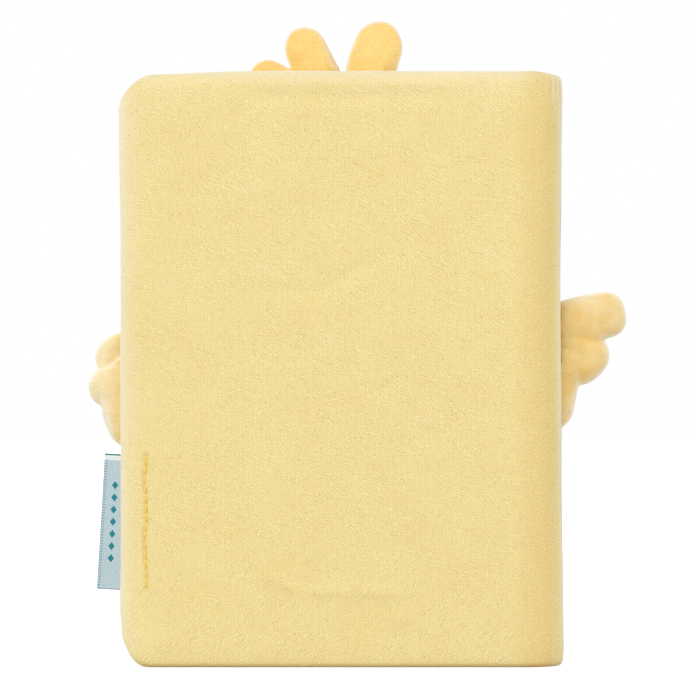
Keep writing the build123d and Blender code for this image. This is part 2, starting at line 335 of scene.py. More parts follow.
frontFolds = (
    ((-110.0, 60.0), (-84.0, 72.0), 2.0, -0.35),
    ((-60.0, 150.0), (-36.0, 142.0), 2.2, -0.3),
    ((-70.0, 34.0), (-40.0, 30.0), 2.0, 0.3),
)


def foldHeight(x, z, folds):
    total = np.zeros_like(x)
    for (ax, az), (bx, bz), width, rise in folds:
        dx, dz = bx - ax, bz - az
        t = np.clip(((x - ax) * dx + (z - az) * dz) / max(dx * dx + dz * dz, 1e-9), 0, 1)
        away = np.hypot(x - ax - t * dx, z - az - t * dz)
        total += rise * np.exp(-((away / width) ** 2))
    return total


def seamDrift(z):  # the cloth was guided by hand, so the row wanders
    return 0.3 * np.sin((z - 52) / 3.75 + 0.5) + 0.15 * np.sin(z / 1.6)


def seamHeight(x, z):
    off = (x - seam["x"] - seamDrift(z)) / seam["width"]
    begins = smoothStep(seam["low"] - seam["fade"], seam["low"], z)
    along = begins * (1 - smoothStep(seam["high"], seam["high"] + seam["fade"], z))
    beat = (z - seam["low"]) / (seam["high"] - seam["low"]) * seam["count"]
    pinch = 0.8 + 0.2 * np.cos(2 * np.pi * beat)
    groove = -seam["depth"] * pinch * np.exp(-(off ** 2))
    puffs = seam["puff"] * (np.exp(-((np.abs(off) - 3.6) / 1.6) ** 2))
    return along * (groove + puffs)


# the wrap round an edge: soft outer round, side, hem round, flat hem, and the tuck under the endpaper
def wrapLengths(outer, thick):
    hem = case["hemRound"]
    return (math.pi / 2 * outer, thick - outer - hem, math.pi / 2 * hem, case["hemFlat"], case["hemTuck"])


# a share 0..1 of the wrap gives the distance in from the outline and the depth from the outer face
def hemProfile(share, outer, thick):
    hem = case["hemRound"]
    lengths = wrapLengths(outer, thick)
    s = share * sum(lengths)
    if s <= lengths[0]:
        turn = s / outer
        return outer * (1 - math.sin(turn)), outer * (1 - math.cos(turn))
    s -= lengths[0]
    if s <= lengths[1]:
        return 0.0, outer + s
    s -= lengths[1]
    if s <= lengths[2]:
        turn = s / hem
        return hem * (1 - math.cos(turn)), thick - hem + hem * math.sin(turn)
    s -= lengths[2]
    dip = case["hemDip"] * smoothStep(lengths[3] - 0.5, lengths[3] + 0.1, s)
    return hem + s, thick - dip


def plushCase(name, side, folds, withSeam, step):
    corner, reach, height = case["corner"], case["reach"], case["height"]
    flat = [i / 9 for i in range(10)]
    wrap = [i / 26 for i in range(1, 27)]
    edge = [(f, 0.0) for f in flat] + [(1.0, w) for w in wrap]
    columns = [("edge", e) for e in reversed(edge[1:])]
    faceX = np.concatenate([
        np.arange(corner - reach, -131.0, case["seamStep"]),
        np.arange(-131.0, -8.0, step),
        np.linspace(-8.0, 0.0, 15),
    ])
    columns += [("face", x) for x in faceX]
    columns += [("spine", a) for a in np.radians(np.linspace(0, 90, 27))[1:]]
    rows = [("low", e) for e in reversed(edge[1:])]
    rows += [("face", z) for z in np.linspace(corner, height - corner, int((height - 2 * corner) / step))]
    rows += [("high", e) for e in edge[1:]]
    coverWrap = sum(wrapLengths(case["coverRound"], case["coverThick"]))

    def reachOf(e):
        return e[0] * (corner - case["coverRound"]) + e[1] * coverWrap

    points, mapped, insets = [], [], []
    for columnKind, column in columns:
        if columnKind == "spine":
            across, thick, outer = case["spineRadius"] * column, case["spineThick"], case["spineRound"]
        elif columnKind == "face":
            across = column
            near = float(smoothStep(-5.0, 0.0, column))
            thick = case["coverThick"] + near * (case["spineThick"] - case["coverThick"])
            outer = case["coverRound"] + near * (case["spineRound"] - case["coverRound"])
        else:
            across = corner - reach - reachOf(column)
            thick, outer = case["coverThick"], case["coverRound"]
        for rowKind, row in rows:
            inset, depth, x, z = 0.0, 0.0, None, None
            soft = outer
            if columnKind == "edge" and rowKind != "face":
                p, q = reachOf(column), reachOf(row)
                turn = math.atan2(q, p)
                if rowKind == "low":
                    soft = outer + (case["footRound"] - outer) * math.sin(turn) ** 2
                flatShare, wrapShare = column if p >= q else row
                inset, depth = hemProfile(wrapShare, soft, thick) if wrapShare else (0.0, 0.0)
                radius = corner - inset if wrapShare else flatShare * (corner - soft)
                even, lean = case["footCorner" if rowKind == "low" else "headCorner"]
                give = math.sin(2 * turn) ** 2 * (even + lean * math.cos(2 * turn))
                radius *= 1 - give * (1 - float(smoothStep(1.1, 4.0, inset)) * (depth > 6.5))
                x = corner - reach - radius * math.cos(turn)
                z = corner - radius * math.sin(turn)
                up = corner - q
            elif columnKind == "edge":
                inset, depth = hemProfile(column[1], outer, thick) if column[1] else (0.0, 0.0)
                x = inset - reach if column[1] else corner - reach - column[0] * (corner - outer)
                z = up = row
            elif rowKind != "face":
                soft = min(outer, case["footRound"]) if rowKind == "low" else outer
                inset, depth = hemProfile(row[1], soft, thick) if row[1] else (0.0, 0.0)
                z = inset if row[1] else corner - row[0] * (corner - soft)
                up = corner - reachOf(row)
            else:
                z = up = row
            if rowKind == "high":
                z, up = height - z, height - up
            if columnKind == "spine":
                place = (math.sin(column), math.cos(column), depth, z)
            else:
                place = (column if x is None else x, None, depth, z)
            points.append(place)
            insets.append(inset)
            mapped.append((across * mm, up * mm, 0.0))
    xs = np.array([p[0] * case["spineRadius"] if p[1] is not None else p[0] for p in points])
    zs = np.array([p[3] for p in points])
    depths = np.array([p[2] for p in points])
    normals = np.array([(p[0], p[1]) if p[1] is not None else (0.0, 1.0) for p in points])
    # a soft outline: the hem stays where it meets the endpaper, and all outside it gives a little
    gives = np.where(depths > 6.5, 1 - smoothStep(1.1, 4.0, np.array(insets)), 1.0)
    drawn = case["waist"] * (1 - smoothStep(0, 45, xs + reach))
    drawn = drawn * smoothStep(12, 40, zs) * (1 - smoothStep(150, 195, zs))
    drop = case["sag"] * (1 - smoothStep(-138, -98, xs))
    drop = drop + case["headSlope"] * (np.clip(xs - 2, 0, 12) / 12) ** 1.8
    drawn = drawn + case["footTaper"] * np.exp(-((zs - 13) / 6) ** 2) * (1 - smoothStep(0, 25, xs + reach))
    xs = xs + drawn * gives
    zs = zs - drop * gives * smoothStep(180, 212, zs)
    # the padding falls away to the edges, and the cloth over it is never quite even
    inside = np.minimum.reduce([xs + reach, zs * 1.5, height - zs])
    crown = case["crown"] * (1 - np.clip(inside / case["crownWidth"], 0, 1)) ** 2
    longWave, shortWave = case["uneven"]
    wave = np.array([
        longWave * noise.noise(Vector((x / 34, z / 41, 7.0 * side)))
        + shortWave * noise.noise(Vector((x / 9, z / 12, 3.0 * side)))
        for x, z in zip(xs, zs)
    ])
    rise = foldHeight(xs, zs, folds) + wave
    if withSeam:
        rise = rise + seamHeight(xs, zs)
    onFace = 1 - smoothStep(0.5, 4.0, depths)
    # head and tail of the spine: little gathers where the cloth is tucked in
    head = np.maximum(smoothStep(198, 208, zs), 1 - smoothStep(2, 12, zs)) * smoothStep(7.0, 10.0, xs)
    close, high = case["pleat"]
    pleats = np.sin(np.arctan2(normals[:, 0], normals[:, 1]) * close + 1.1 * np.sin(zs / 2.3))
    gathers = high * pleats * head * (1 - smoothStep(0.8, 2.0, depths))
    inward = depths + crown * onFace - rise * onFace - gathers * onFace
    slim = case["spineWaist"] * np.exp(-((zs - 138) / 62) ** 2)
    slim = slim - case["spineFoot"] * np.exp(-(zs / 45) ** 2)
    inward = inward + slim * smoothStep(0.0, case["spineRadius"], xs) * gives
    radius = case["spineRadius"] - inward
    onSpine = np.array([p[1] is not None for p in points])
    final = np.stack([
        np.where(onSpine, normals[:, 0] * radius, xs),
        side * np.where(onSpine, normals[:, 1] * radius, radius),
        zs,
    ], 1) * mm
    count = len(rows)
    faces = []
    for i in range(len(columns) - 1):
        for j in range(count - 1):
            quad = (i * count + j, (i + 1) * count + j, (i + 1) * count + j + 1, i * count + j + 1)
            faces.append(quad if side < 0 else quad[::-1])
    piece = makeObject(name, final, faces, coverVelour)
    mesh = piece.data
    # painted shade: a deeper, warmer tone in the seam groove, round the start of the spine, and a dark line
    # at the foot where it stands
    paintedShade = np.zeros(len(xs))
    if withSeam:
        paintedShade = np.clip(-seamHeight(xs, zs) / seam["depth"], 0, 1) * onFace * 0.35
    paintedShade = paintedShade + 0.2 * smoothStep(-5, 4, xs) * (1 - smoothStep(8.5, 12.5, xs)) * onFace
    paintedShade = paintedShade + 0.7 * np.exp(-np.maximum(zs, 0) / 0.8)
    setPoints(mesh, "warmToneAndShade", paintedShade)
    setPoints(mesh, "stretch", 0.6 * smoothStep(-4, 6, xs))
    # painted edge light: paler along the fore edge and the head, a little along the foot, and on the crests
    # of the gathers
    edgeLightShare = np.maximum(0.85 * np.exp(-(xs + reach) / 2.8), 0.6 * np.exp((zs - height) / 2.6))
    edgeLightShare = edgeLightShare + 0.1 * np.exp(-zs / 2.6)
    edgeLightShare = np.where(onSpine, 0.6, 1.0) * edgeLightShare * (1 - 0.6 * smoothStep(3, 7, depths))
    edgeLightShare = edgeLightShare + 0.55 * head * smoothStep(190, 200, zs) * np.clip(pleats, 0, 1)
    setPoints(mesh, "paintedEdgeLight", edgeLightShare)
    pile = mesh.attributes.new("pileMap", "FLOAT_VECTOR", "POINT")
    pile.data.foreach_set("vector", np.array(mapped, np.float32).ravel())
    # a flat layout of the cloth, for baking
    flatMap = np.array(mapped)[:, :2]
    flatMap = (flatMap - flatMap.min(0)) / np.ptp(flatMap, axis=0) * 0.98 + 0.01
    layer = mesh.uv_layers.new(name="OFBake")
    corners = np.zeros(len(mesh.loops), np.int32)
    mesh.loops.foreach_get("vertex_index", corners)
    layer.uv.foreach_set("vector", flatMap[corners].astype(np.float32).ravel())
    return piece


backCase = plushCase("backCasePlush", -1, backFolds, True, case["step"])
frontCase = plushCase("frontCasePlush", 1, frontFolds, False, case["frontStep"])
for piece, side, body, names in (
    (backCase, -1, "back_cover", ("back_plush", "back_padding", "spine_plush")),
    (frontCase, 1, "front_cover", ("front_plush", "front_padding", "spine_plush")),
):
    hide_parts(*names)
    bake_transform(piece)
print("padded case sewn:", len(backCase.data.polygons), "faces on the back")


# stuffed feathers: length, width, thickness, middle x y z, lean in degrees,
# bluntness, taper to the root, squareness
spineWing = {
    "lobes": (
        (27.2, 16.8, 8.9, 23.2, 7.0, 125.4, 12, 0.9, 0.0, 0.78),
        (23.7, 21.0, 9.5, 19.1, 7.9, 113.3, -50, 0.8, 0.0, 0.85),
        (30.3, 15.6, 8.6, 11.6, 5.8, 99.8, -100, 0.7, 0.0, 1.0),
    ),
    "voxel": 0.6,
    "ease": 26,  # sewn as one flat wing, so its feathers hardly part
    "swell": 0.3,  # fuller all over
    "pinch": 0.08,  # drawn in along the creases
    "crease": 0.15,  # and painted warmer shade there
    "warm": 0.48,  # warm tone all over
    "root": (0.15, 15.0),  # more of it at the root as painted shade and bounce light, and how far out
    "lumps": 0.15,  # of the stuffing
}
foreWing = {
    "lobes": (
        (21.6, 16.6, 8.2, -145.2, 18.6, 111.8, 24, 0.7, 0.0, 1.0),
        (22.9, 15.4, 8.7, -147.4, 18.3, 102.4, 34, 0.7, 0.0, 1.0),
        (34.0, 20.0, 9.5, -143.5, 16.8, 95.6, -90, 0.1, 0.0, 1.0),
    ),
    "voxel": 0.6,
    "ease": 22,
    "swell": 0.25,
    "pinch": 0.2,
    "crease": 0.2,
    "warm": -0.02,
    "root": (0.38, 6.0),
    "lumps": 0.25,
}
tuft = {
    "lobes": (
        (31.8, 19.2, 10.0, -54.8, 16.8, 217.7, 73, 0.7, 0.12, 1.0),
        (29.1, 15.6, 9.2, -76.1, 18.0, 217.4, 117, 0.8, 0.0, 0.95),
        (24.9, 14.1, 8.0, -88.1, 17.4, 209.6, 147, 0.9, 0.0, 1.0),
        (37.5, 13.8, 8.6, -69.8, 18.9, 204.8, 176, 0.9, 0.0, 1.0),
    ),
    "voxel": 0.6,
    "ease": 5,
    "swell": 0.0,
    "pinch": 0.45,
    "crease": 0.4,
    "warm": 0.06,
    "root": (0.1, 8.0),
    "lumps": 0.3,
}
puff = {
    "creaseWidth": 0.18,
    "seamDip": 0.03,
    "seamHold": 0.12,  # half width of the held seam, as the slope of the skin
    "pressure": 4.0,
    "slack": 0.06,
    "steps": 16,
    "cap": 1.2,  # the most that a point may move, in mm
    "soften": 10,
}


# stuffing: the sewn skin is blown up a little by cloth pressure and held along its seams
def blownUp(mesh, place, held):
    big = 10  # cloth works best on a piece the size of a cushion, so this is done at ten times the size
    skin = mesh.copy()
    skin.transform(Matrix.Scale(big, 4))
    bag = bpy.data.objects.new("stuffingBag", skin)
    bpy.context.scene.collection.objects.link(bag)
    seams = bag.vertex_groups.new(name="seams")
    for i in np.nonzero(held > 0.5)[0]:
        seams.add([int(i)], 1.0, "REPLACE")
    cloth = bag.modifiers.new("stuffing", "CLOTH").settings
    cloth.use_pressure = True
    cloth.uniform_pressure_force = puff["pressure"]
    cloth.vertex_group_mass = "seams"
    cloth.shrink_min = -puff["slack"]  # a little more cloth than the seams need, so it puckers
    cloth.effector_weights.gravity = 0
    scene = bpy.context.scene
    for step in range(1, puff["steps"] + 1):
        scene.frame_set(step)
    settled = bag.evaluated_get(bpy.context.evaluated_depsgraph_get()).to_mesh()
    after = np.zeros(len(place) * 3)
    settled.vertices.foreach_get("co", after)
    moved = after.reshape(-1, 3) / (big * mm) - place
    scene.frame_set(1)
    bpy.data.objects.remove(bag)
    bpy.data.meshes.remove(skin)
    far = np.linalg.norm(moved, axis=1, keepdims=True)
    print("stuffing moved the cloth by up to", round(float(far.max()), 2), "mm")
    moved *= np.minimum(1, puff["cap"] / np.maximum(far, 1e-9))
    ends = np.zeros(len(mesh.edges) * 2, np.int32)
    mesh.edges.foreach_get("vertices", ends)
    one, two = ends.reshape(-1, 2).T
    shared = np.bincount(np.concatenate([one, two]), minlength=len(place))[:, None]
    for _ in range(puff["soften"]):  # the pile hides the sharpest puckers
        around = np.zeros_like(moved)
        np.add.at(around, one, moved[two])
        np.add.at(around, two, moved[one])
        moved = 0.5 * moved + 0.5 * around / shared
    return place + moved


def stuffed(name, spec, material, seat):
    points, faces = [], []
    rings, around = 44, 80
    for length, width, thick, x, y, z, lean, blunt, taper, square in spec["lobes"]:
        straight = (length - width) / 2
        turn = math.radians(lean)
        start = len(points)
        for i in range(rings + 1):
            b = -math.cos(math.pi * i / rings)
            wide = math.sqrt(max(0.0, 1 - b * b))
            full = 1 - (1 - wide) ** 2.2  # blunt rim under a crowned face
            full *= 1 - puff["seamDip"] * math.exp(-((b / 0.12) ** 2))  # seam round the edge
            for j in range(around):
                a = math.cos(2 * math.pi * j / around)
                c = math.sin(2 * math.pi * j / around)
                a, c = math.copysign(abs(a) ** square, a), math.copysign(abs(c) ** square, c)
                slotted = width / 2 * a * full + straight * math.tanh(5 * a * wide)
                along = blunt * slotted + (1 - blunt) * length / 2 * a * full
                across = width / 2 * c * full * (1 - taper * (1 - a) / 2)
                points.append((
                    (x + along * math.cos(turn) - across * math.sin(turn)) * mm,
                    (y + thick / 2 * b) * mm,
                    (z + along * math.sin(turn) + across * math.cos(turn)) * mm,
                ))
        for i in range(rings):
            for j in range(around):
                k = (j + 1) % around
                ring = start + i * around
                faces.append((ring + j, ring + k, ring + around + k, ring + around + j))
    raw = makeObject(name + "Raw", points, faces, material)
    skin = raw.modifiers.new("skin", "REMESH")
    skin.mode = "VOXEL"
    skin.voxel_size = spec["voxel"] * mm
    ease = raw.modifiers.new("ease", "SMOOTH")
    ease.factor = 0.5
    ease.iterations = spec["ease"]
    ready = raw.evaluated_get(bpy.context.evaluated_depsgraph_get())
    mesh = bpy.data.meshes.new_from_object(ready)
    bpy.data.objects.remove(raw)
    place = np.zeros(len(mesh.vertices) * 3)
    mesh.vertices.foreach_get("co", place)
    place = place.reshape(-1, 3) / mm
    outward = np.array([n.vector for n in mesh.vertex_normals])
    # how near each point is to a second feather: that is where the sewn crease lies
    near = []
    for length, width, thick, x, y, z, lean, blunt, taper, square in spec["lobes"]:
        turn = math.radians(lean)
        dx, dy, dz = (place - np.array((x, y, z))).T
        along = np.abs(dx * math.cos(turn) + dz * math.sin(turn))
        across = dz * math.cos(turn) - dx * math.sin(turn)
        straight = (length - width) / 2
        end = np.maximum(along - straight * blunt, 0) / (width / 2 + straight * (1 - blunt))
        near.append(np.sqrt(end ** 2 + (across * 2 / width) ** 2 + (dy * 2 / thick) ** 2))
    second = np.sort(np.array(near), 0)[1]
    crease = np.exp(-(np.maximum(second - 1, 0) / puff["creaseWidth"]) ** 2)
    place = blownUp(mesh, place, np.maximum(crease, (np.abs(outward[:, 1]) < puff["seamHold"]) * 1.0))
    ripple = np.array([noise.noise(Vector(p / 5.5)) for p in place])
    place += outward * (spec["swell"] + spec["lumps"] * ripple - spec["pinch"] * crease)[:, None]
    place, away = seat(place)
    mesh.vertices.foreach_set("co", (place * mm).ravel())
    mottle = np.array([
        0.3 * noise.noise(Vector(p / 9)) + 0.18 * noise.noise(Vector(p / 3.5))
        for p in place
    ])
    # painted shade in the creases and painted bounce light at the root, over the feather's own warm tone and
    # random mottling
    root = spec["root"][0] * (1 - smoothStep(0, spec["root"][1], away))
    warmToneAndShade = np.clip(spec["warm"] + spec["crease"] * crease + root + mottle, 0, 1)
    setPoints(mesh, "warmToneAndShade", warmToneAndShade)
    mesh.polygons.foreach_set("use_smooth", [True] * len(mesh.polygons))
    mesh.name = name
    mesh.update()
    piece = bpy.data.objects.new(name, mesh)
    bpy.context.scene.collection.objects.link(piece)
    return piece


# the base of the spine's wing is pressed on to the half round of the spine
def ontoSpine(place):
    away = np.hypot(place[:, 0], place[:, 1])
    least = case["spineRadius"] - 0.5
    place[:, :2] *= np.where(away < least, least / np.maximum(away, 1e-6), 1.0)[:, None]
    return place, away - least


# the front pieces lie on the front cover and hang free past its edges
def ontoFront(place):
    over = np.minimum(place[:, 0] + case["reach"], case["height"] - place[:, 2])
    rest = case["spineRadius"] - 0.5 - 4.5 * (1 - smoothStep(0.5, 5, over)) ** 2
    place[:, 1] = np.where(over > -0.5, np.maximum(place[:, 1], rest), place[:, 1])
    return place, np.maximum(-over, 0)


for name, spec, material, seat, body, node in (
    ("spineWingStuffed", spineWing, wingVelour, ontoSpine, "spine", "spine_wing"),
    ("foreWingStuffed", foreWing, wingVelour, ontoFront, "front_cover", "fore_wing"),
    ("tuftStuffed", tuft, tuftVelour, ontoFront, "front_cover", "tuft"),
):
    piece = stuffed(name, spec, material, seat)
    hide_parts(node)
    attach(piece, body)
    print(name, len(piece.data.polygons), "faces")


# a thin closed sheet from its middle surface, a grid of points with their normals
def thinSheet(name, grid, normals, thick, material):
    long, wide = grid.shape[:2]
    upper = (grid + normals * thick / 2).reshape(-1, 3)
    lower = (grid - normals * thick / 2).reshape(-1, 3)
    under = long * wide
    faces = []
    for i in range(long - 1):
        for j in range(wide - 1):
            k = i * wide + j
            faces.append((k, k + 1, k + wide + 1, k + wide))
            faces.append(tuple(under + v for v in (k, k + wide, k + wide + 1, k + 1)))
    rim = [i * wide for i in range(long)] + [(long - 1) * wide + j for j in range(1, wide)]
    rim += [i * wide + wide - 1 for i in range(long - 2, -1, -1)] + list(range(wide - 2, 0, -1))
    for k, one in enumerate(rim):
        two = rim[(k + 1) % len(rim)]
        faces.append((one, two, under + two, under + one))
    return makeObject(name, np.concatenate([upper, lower]) * mm, faces, material)


# damask label: satin-woven polyester, close ribs and a faint twill, with a dull gloss
label = {
    "fold": (-152.9, -7.15, 52.6),  # middle of the folded edge
    "tilt": 3.4,
    "length": 49.0,
    "width": 18.5,
    "ply": 0.25,
    "gap": 0.1,
    "curl": 0.25,
    "ground": ((0.35, "a9c0ca"), (0.65, "c7d9e1")),
    "tick": "8fabb8",
    "tickPitch": 1.0,
    "tickLong": 1.15,
    "band": "e3edf0",
    "mark": "14808a",
    "ends": (22.2, 23.95, -24.1),  # pale band, cut line and lower edge, from the middle
    "lozenge": (1.15, 1.5),  # half sizes
    "lozengePitch": 4.4,
    "lozengeIn": 4.3,  # middle of the row, from the folded edge
    "lozengeRow": 15.4,  # half its length
}
satin, tree, shader = newMaterial("labelSatinWoven", Roughness=0.55, IOR=1.5, Specular_IOR_Level=0.35)
flat = addNode(tree, "ShaderNodeAttribute", attribute_name="labelMap").outputs["Vector"]
across, along, _ = addNode(tree, "ShaderNodeSeparateXYZ", {0: flat}).outputs
# weft ribs are 0.15 mm apart in such a label; drawn coarser, as slanting flecks, so that they show
grain = addNode(tree, "ShaderNodeMapping", {
    "Vector": flat, "Rotation": (0, 0, math.radians(-28)), "Scale": (0.7 * mm, 0.18 * mm, 1 * mm),
}, vector_type="TEXTURE").outputs[0]
ribs = addNode(tree, "ShaderNodeTexNoise", {"Vector": grain, "Scale": 1.0, "Detail": 0.0}).outputs["Fac"]
ground = addNode(tree, "ShaderNodeValToRGB", {"Fac": ribs}, stops=label["ground"]).outputs["Color"]
# selvedge ticks along the folded edge
pitch = label["tickPitch"] * mm
beat = addNode(tree, "ShaderNodeMath", {0: along, 1: pitch / 2}, operation="PINGPONG").outputs[0]
tick = addNode(tree, "ShaderNodeMath", {0: beat, 1: pitch / 4}, operation="LESS_THAN").outputs[0]
nearFold = addNode(tree, "ShaderNodeMath", {
    0: across, 1: label["tickLong"] * mm,
}, operation="LESS_THAN").outputs[0]
tick = addNode(tree, "ShaderNodeMath", {0: tick, 1: nearFold}, operation="MULTIPLY").outputs[0]
# a plain row of woven lozenges
pitch = label["lozengePitch"] * mm
step = addNode(tree, "ShaderNodeMath", {0: along, 1: pitch / 2}, operation="PINGPONG").outputs[0]
up = addNode(tree, "ShaderNodeMath", {0: step, 1: label["lozenge"][1] * mm}, operation="DIVIDE").outputs[0]
side = addNode(tree, "ShaderNodeMath", {0: across, 1: -label["lozengeIn"] * mm}, operation="ADD").outputs[0]
side = addNode(tree, "ShaderNodeMath", {0: side}, operation="ABSOLUTE").outputs[0]
side = addNode(tree, "ShaderNodeMath", {0: side, 1: label["lozenge"][0] * mm}, operation="DIVIDE").outputs[0]
spread = addNode(tree, "ShaderNodeMath", {0: up, 1: side}, operation="ADD").outputs[0]
lozenge = addNode(tree, "ShaderNodeMath", {0: spread, 1: 1.0}, operation="LESS_THAN").outputs[0]
height = addNode(tree, "ShaderNodeMath", {0: along}, operation="ABSOLUTE").outputs[0]
inRow = addNode(tree, "ShaderNodeMath", {
    0: height, 1: label["lozengeRow"] * mm,
}, operation="LESS_THAN").outputs[0]
lozenge = addNode(tree, "ShaderNodeMath", {0: lozenge, 1: inRow}, operation="MULTIPLY").outputs[0]
# pale band and cut line at the top, a darker edge at the bottom
band, cut, foot = (
    addNode(tree, "ShaderNodeMath", {0: along, 1: edge * mm}, operation=test).outputs[0]
    for edge, test in zip(label["ends"], ("GREATER_THAN", "GREATER_THAN", "LESS_THAN"))
)
colour = ground
for part, tint in ((tick, "tick"), (band, "band"), (cut, "mark"), (foot, "tick"), (lozenge, "mark")):
    colour = addNode(tree, "ShaderNodeMix", {
        0: part, 6: colour, 7: linear(label[tint]),
    }, data_type="RGBA").outputs[2]
tree.links.new(colour, shader.inputs["Base Color"])
weave = addNode(tree, "ShaderNodeBump", {"Strength": 0.35, "Distance": 0.12 * mm, "Height": ribs})
tree.links.new(weave.outputs[0], shader.inputs["Normal"])

# the ribbon runs out along one ply, round the fold and back along the other
bend = (label["gap"] + label["ply"]) / 2
run = np.linspace(label["width"], bend, 44)
turns = np.linspace(0, math.pi, 9)[1:-1]
pathIn = np.concatenate([run, bend - bend * np.sin(turns), run[::-1]])
pathDeep = np.concatenate([np.full(44, -bend), -bend * np.cos(turns), np.full(44, bend)])
facingIn = np.concatenate([np.zeros(44), -np.sin(turns), np.zeros(44)])
facingDeep = np.concatenate([np.full(44, -1.0), -np.cos(turns), np.full(44, 1.0)])
rows = np.linspace(-label["length"] / 2, label["length"] / 2, 97)
tilt = math.radians(label["tilt"])
inward = np.array((math.cos(tilt), 0, -math.sin(tilt)))
upward = np.array((math.sin(tilt), 0, math.cos(tilt)))
deep = np.array((0, 1.0, 0))
free = np.clip(1 - pathIn / 6.5, 0, 1) ** 2  # only the part that stands out can curl
wave = label["curl"] * (np.sin(rows / 9) + 0.4 * np.sin(rows / 3.7 + 1))
grid = (
    np.array(label["fold"])
    + rows[:, None, None] * upward
    + pathIn[None, :, None] * inward
    + (pathDeep[None, :] + wave[:, None] * free[None, :])[..., None] * deep
)
normals = np.broadcast_to(facingIn[:, None] * inward + facingDeep[:, None] * deep, grid.shape)
labelPiece = thinSheet("labelWoven", grid, normals, label["ply"], satin)
labelMap = np.zeros((2, len(rows), len(pathIn), 3), np.float32)
labelMap[..., 0] = pathIn * mm
labelMap[..., 1] = rows[:, None] * mm
mapLayer = labelPiece.data.attributes.new("labelMap", "FLOAT_VECTOR", "POINT")
mapLayer.data.foreach_set("vector", labelMap.ravel())
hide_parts("label")
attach(labelPiece, "back_cover")
cut = (2 * label["width"] * mm, label["length"] * mm)
print("label woven and folded")


# lockstitches in spun polyester thread: two plies with a low twist, a soft dull gloss
stitches = {
    "count": 14,
    "pitch": 3.38,
    "middle": 52.6,
    "long": 3.3,
    "radius": 0.48,
    "arch": 0.5,
    "deep": 13.0,  # from the middle of the block to the ends of a stitch
    "twist": 2.6,
    "tones": ((0.35, "eec250"), (0.65, "f9da78")),
}
thread, tree, shader = newMaterial(
    "threadSpunPolyester", Roughness=0.7, IOR=1.5, Sheen_Weight=0.2, Sheen_Roughness=0.4,
)
place = addNode(tree, "ShaderNodeTexCoord").outputs["Object"]
spun = addNode(tree, "ShaderNodeMapping", {
    "Vector": place, "Rotation": (math.radians(35), 0, 0), "Scale": (0.3 * mm, 0.12 * mm, 0.5 * mm),
}, vector_type="TEXTURE").outputs[0]
hairs = addNode(tree, "ShaderNodeTexNoise", {"Vector": spun, "Scale": 1.0, "Detail": 1.0}).outputs["Fac"]
tint = addNode(tree, "ShaderNodeValToRGB", {"Fac": hairs}, stops=stitches["tones"]).outputs["Color"]
tree.links.new(tint, shader.inputs["Base Color"])
lay = addNode(tree, "ShaderNodeBump", {"Strength": 0.4, "Distance": 0.1 * mm, "Height": hairs})
tree.links.new(lay.outputs[0], shader.inputs["Normal"])
points, faces = [], []
steps, around = 18, 14
for k in range(stitches["count"]):
    middleZ = stitches["middle"] + (k - (stitches["count"] - 1) / 2) * stitches["pitch"]
    drift = float(seamDrift(middleZ))
    slant = 0.10 * math.sin(k * 1.7)
    start = len(points)
    for i in range(steps + 1):
        t = i / steps
        rise = math.sin(math.pi * t)
        along = (t - 0.5) * stitches["long"]
        centreX = seam["x"] + drift + slant * along
        centreY = -stitches["deep"] - stitches["arch"] * rise ** 0.7
        size = stitches["radius"] * (0.55 + 0.45 * rise ** 0.5)
        for j in range(around):
            angle = 2 * math.pi * j / around
            ply = 1 + 0.16 * math.cos(2 * (angle - stitches["twist"] * math.pi * t))
            points.append((
                (centreX + size * ply * math.cos(angle)) * mm,
                (centreY + size * ply * math.sin(angle)) * mm,
                (middleZ + along) * mm,
            ))
    for i in range(steps):
        for j in range(around):
            n = (j + 1) % around
            ring = start + i * around
            faces.append((ring + j, ring + n, ring + around + n, ring + around + j))
    faces.append(tuple(start + j for j in reversed(range(around))))
    faces.append(tuple(start + steps * around + j for j in range(around)))
stitchPiece = makeObject("labelStitchRow", points, faces, thread)
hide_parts("label_stitches")
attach(stitchPiece, "back_cover")
print("stitches laid:", stitches["count"])


# uncoated book paper and greyboard: a faint cloudy formation and fine fibres, no gloss
def paper(name, tones, fibre):
    material, tree, shader = newMaterial(name, Roughness=0.85, IOR=1.47, Specular_IOR_Level=0.3)
    place = addNode(tree, "ShaderNodeTexCoord").outputs["Object"]
    cloud = addNode(tree, "ShaderNodeTexNoise", {
        "Vector": place, "Scale": 1 / (6 * mm), "Detail": 4.0, "Roughness": 0.6,
    }).outputs["Fac"]
    tint = addNode(tree, "ShaderNodeValToRGB", {"Fac": cloud}, stops=tones).outputs["Color"]
    tree.links.new(tint, shader.inputs["Base Color"])
    grain = addNode(tree, "ShaderNodeTexNoise", {
        "Vector": place, "Scale": 1 / fibre, "Detail": 2.0,
    }).outputs["Fac"]
    bump = addNode(tree, "ShaderNodeBump", {"Strength": 0.15, "Distance": 0.05 * mm, "Height": grain})
    tree.links.new(bump.outputs[0], shader.inputs["Normal"])
    return material


endpaper = paper("endpaperUncoated", ((0.35, "f6f0dd"), (0.65, "f8f2e1")), 0.4 * mm)
card = paper("cardGreyboard", ((0.35, "b9ad98"), (0.65, "c9bda8")), 0.8 * mm)

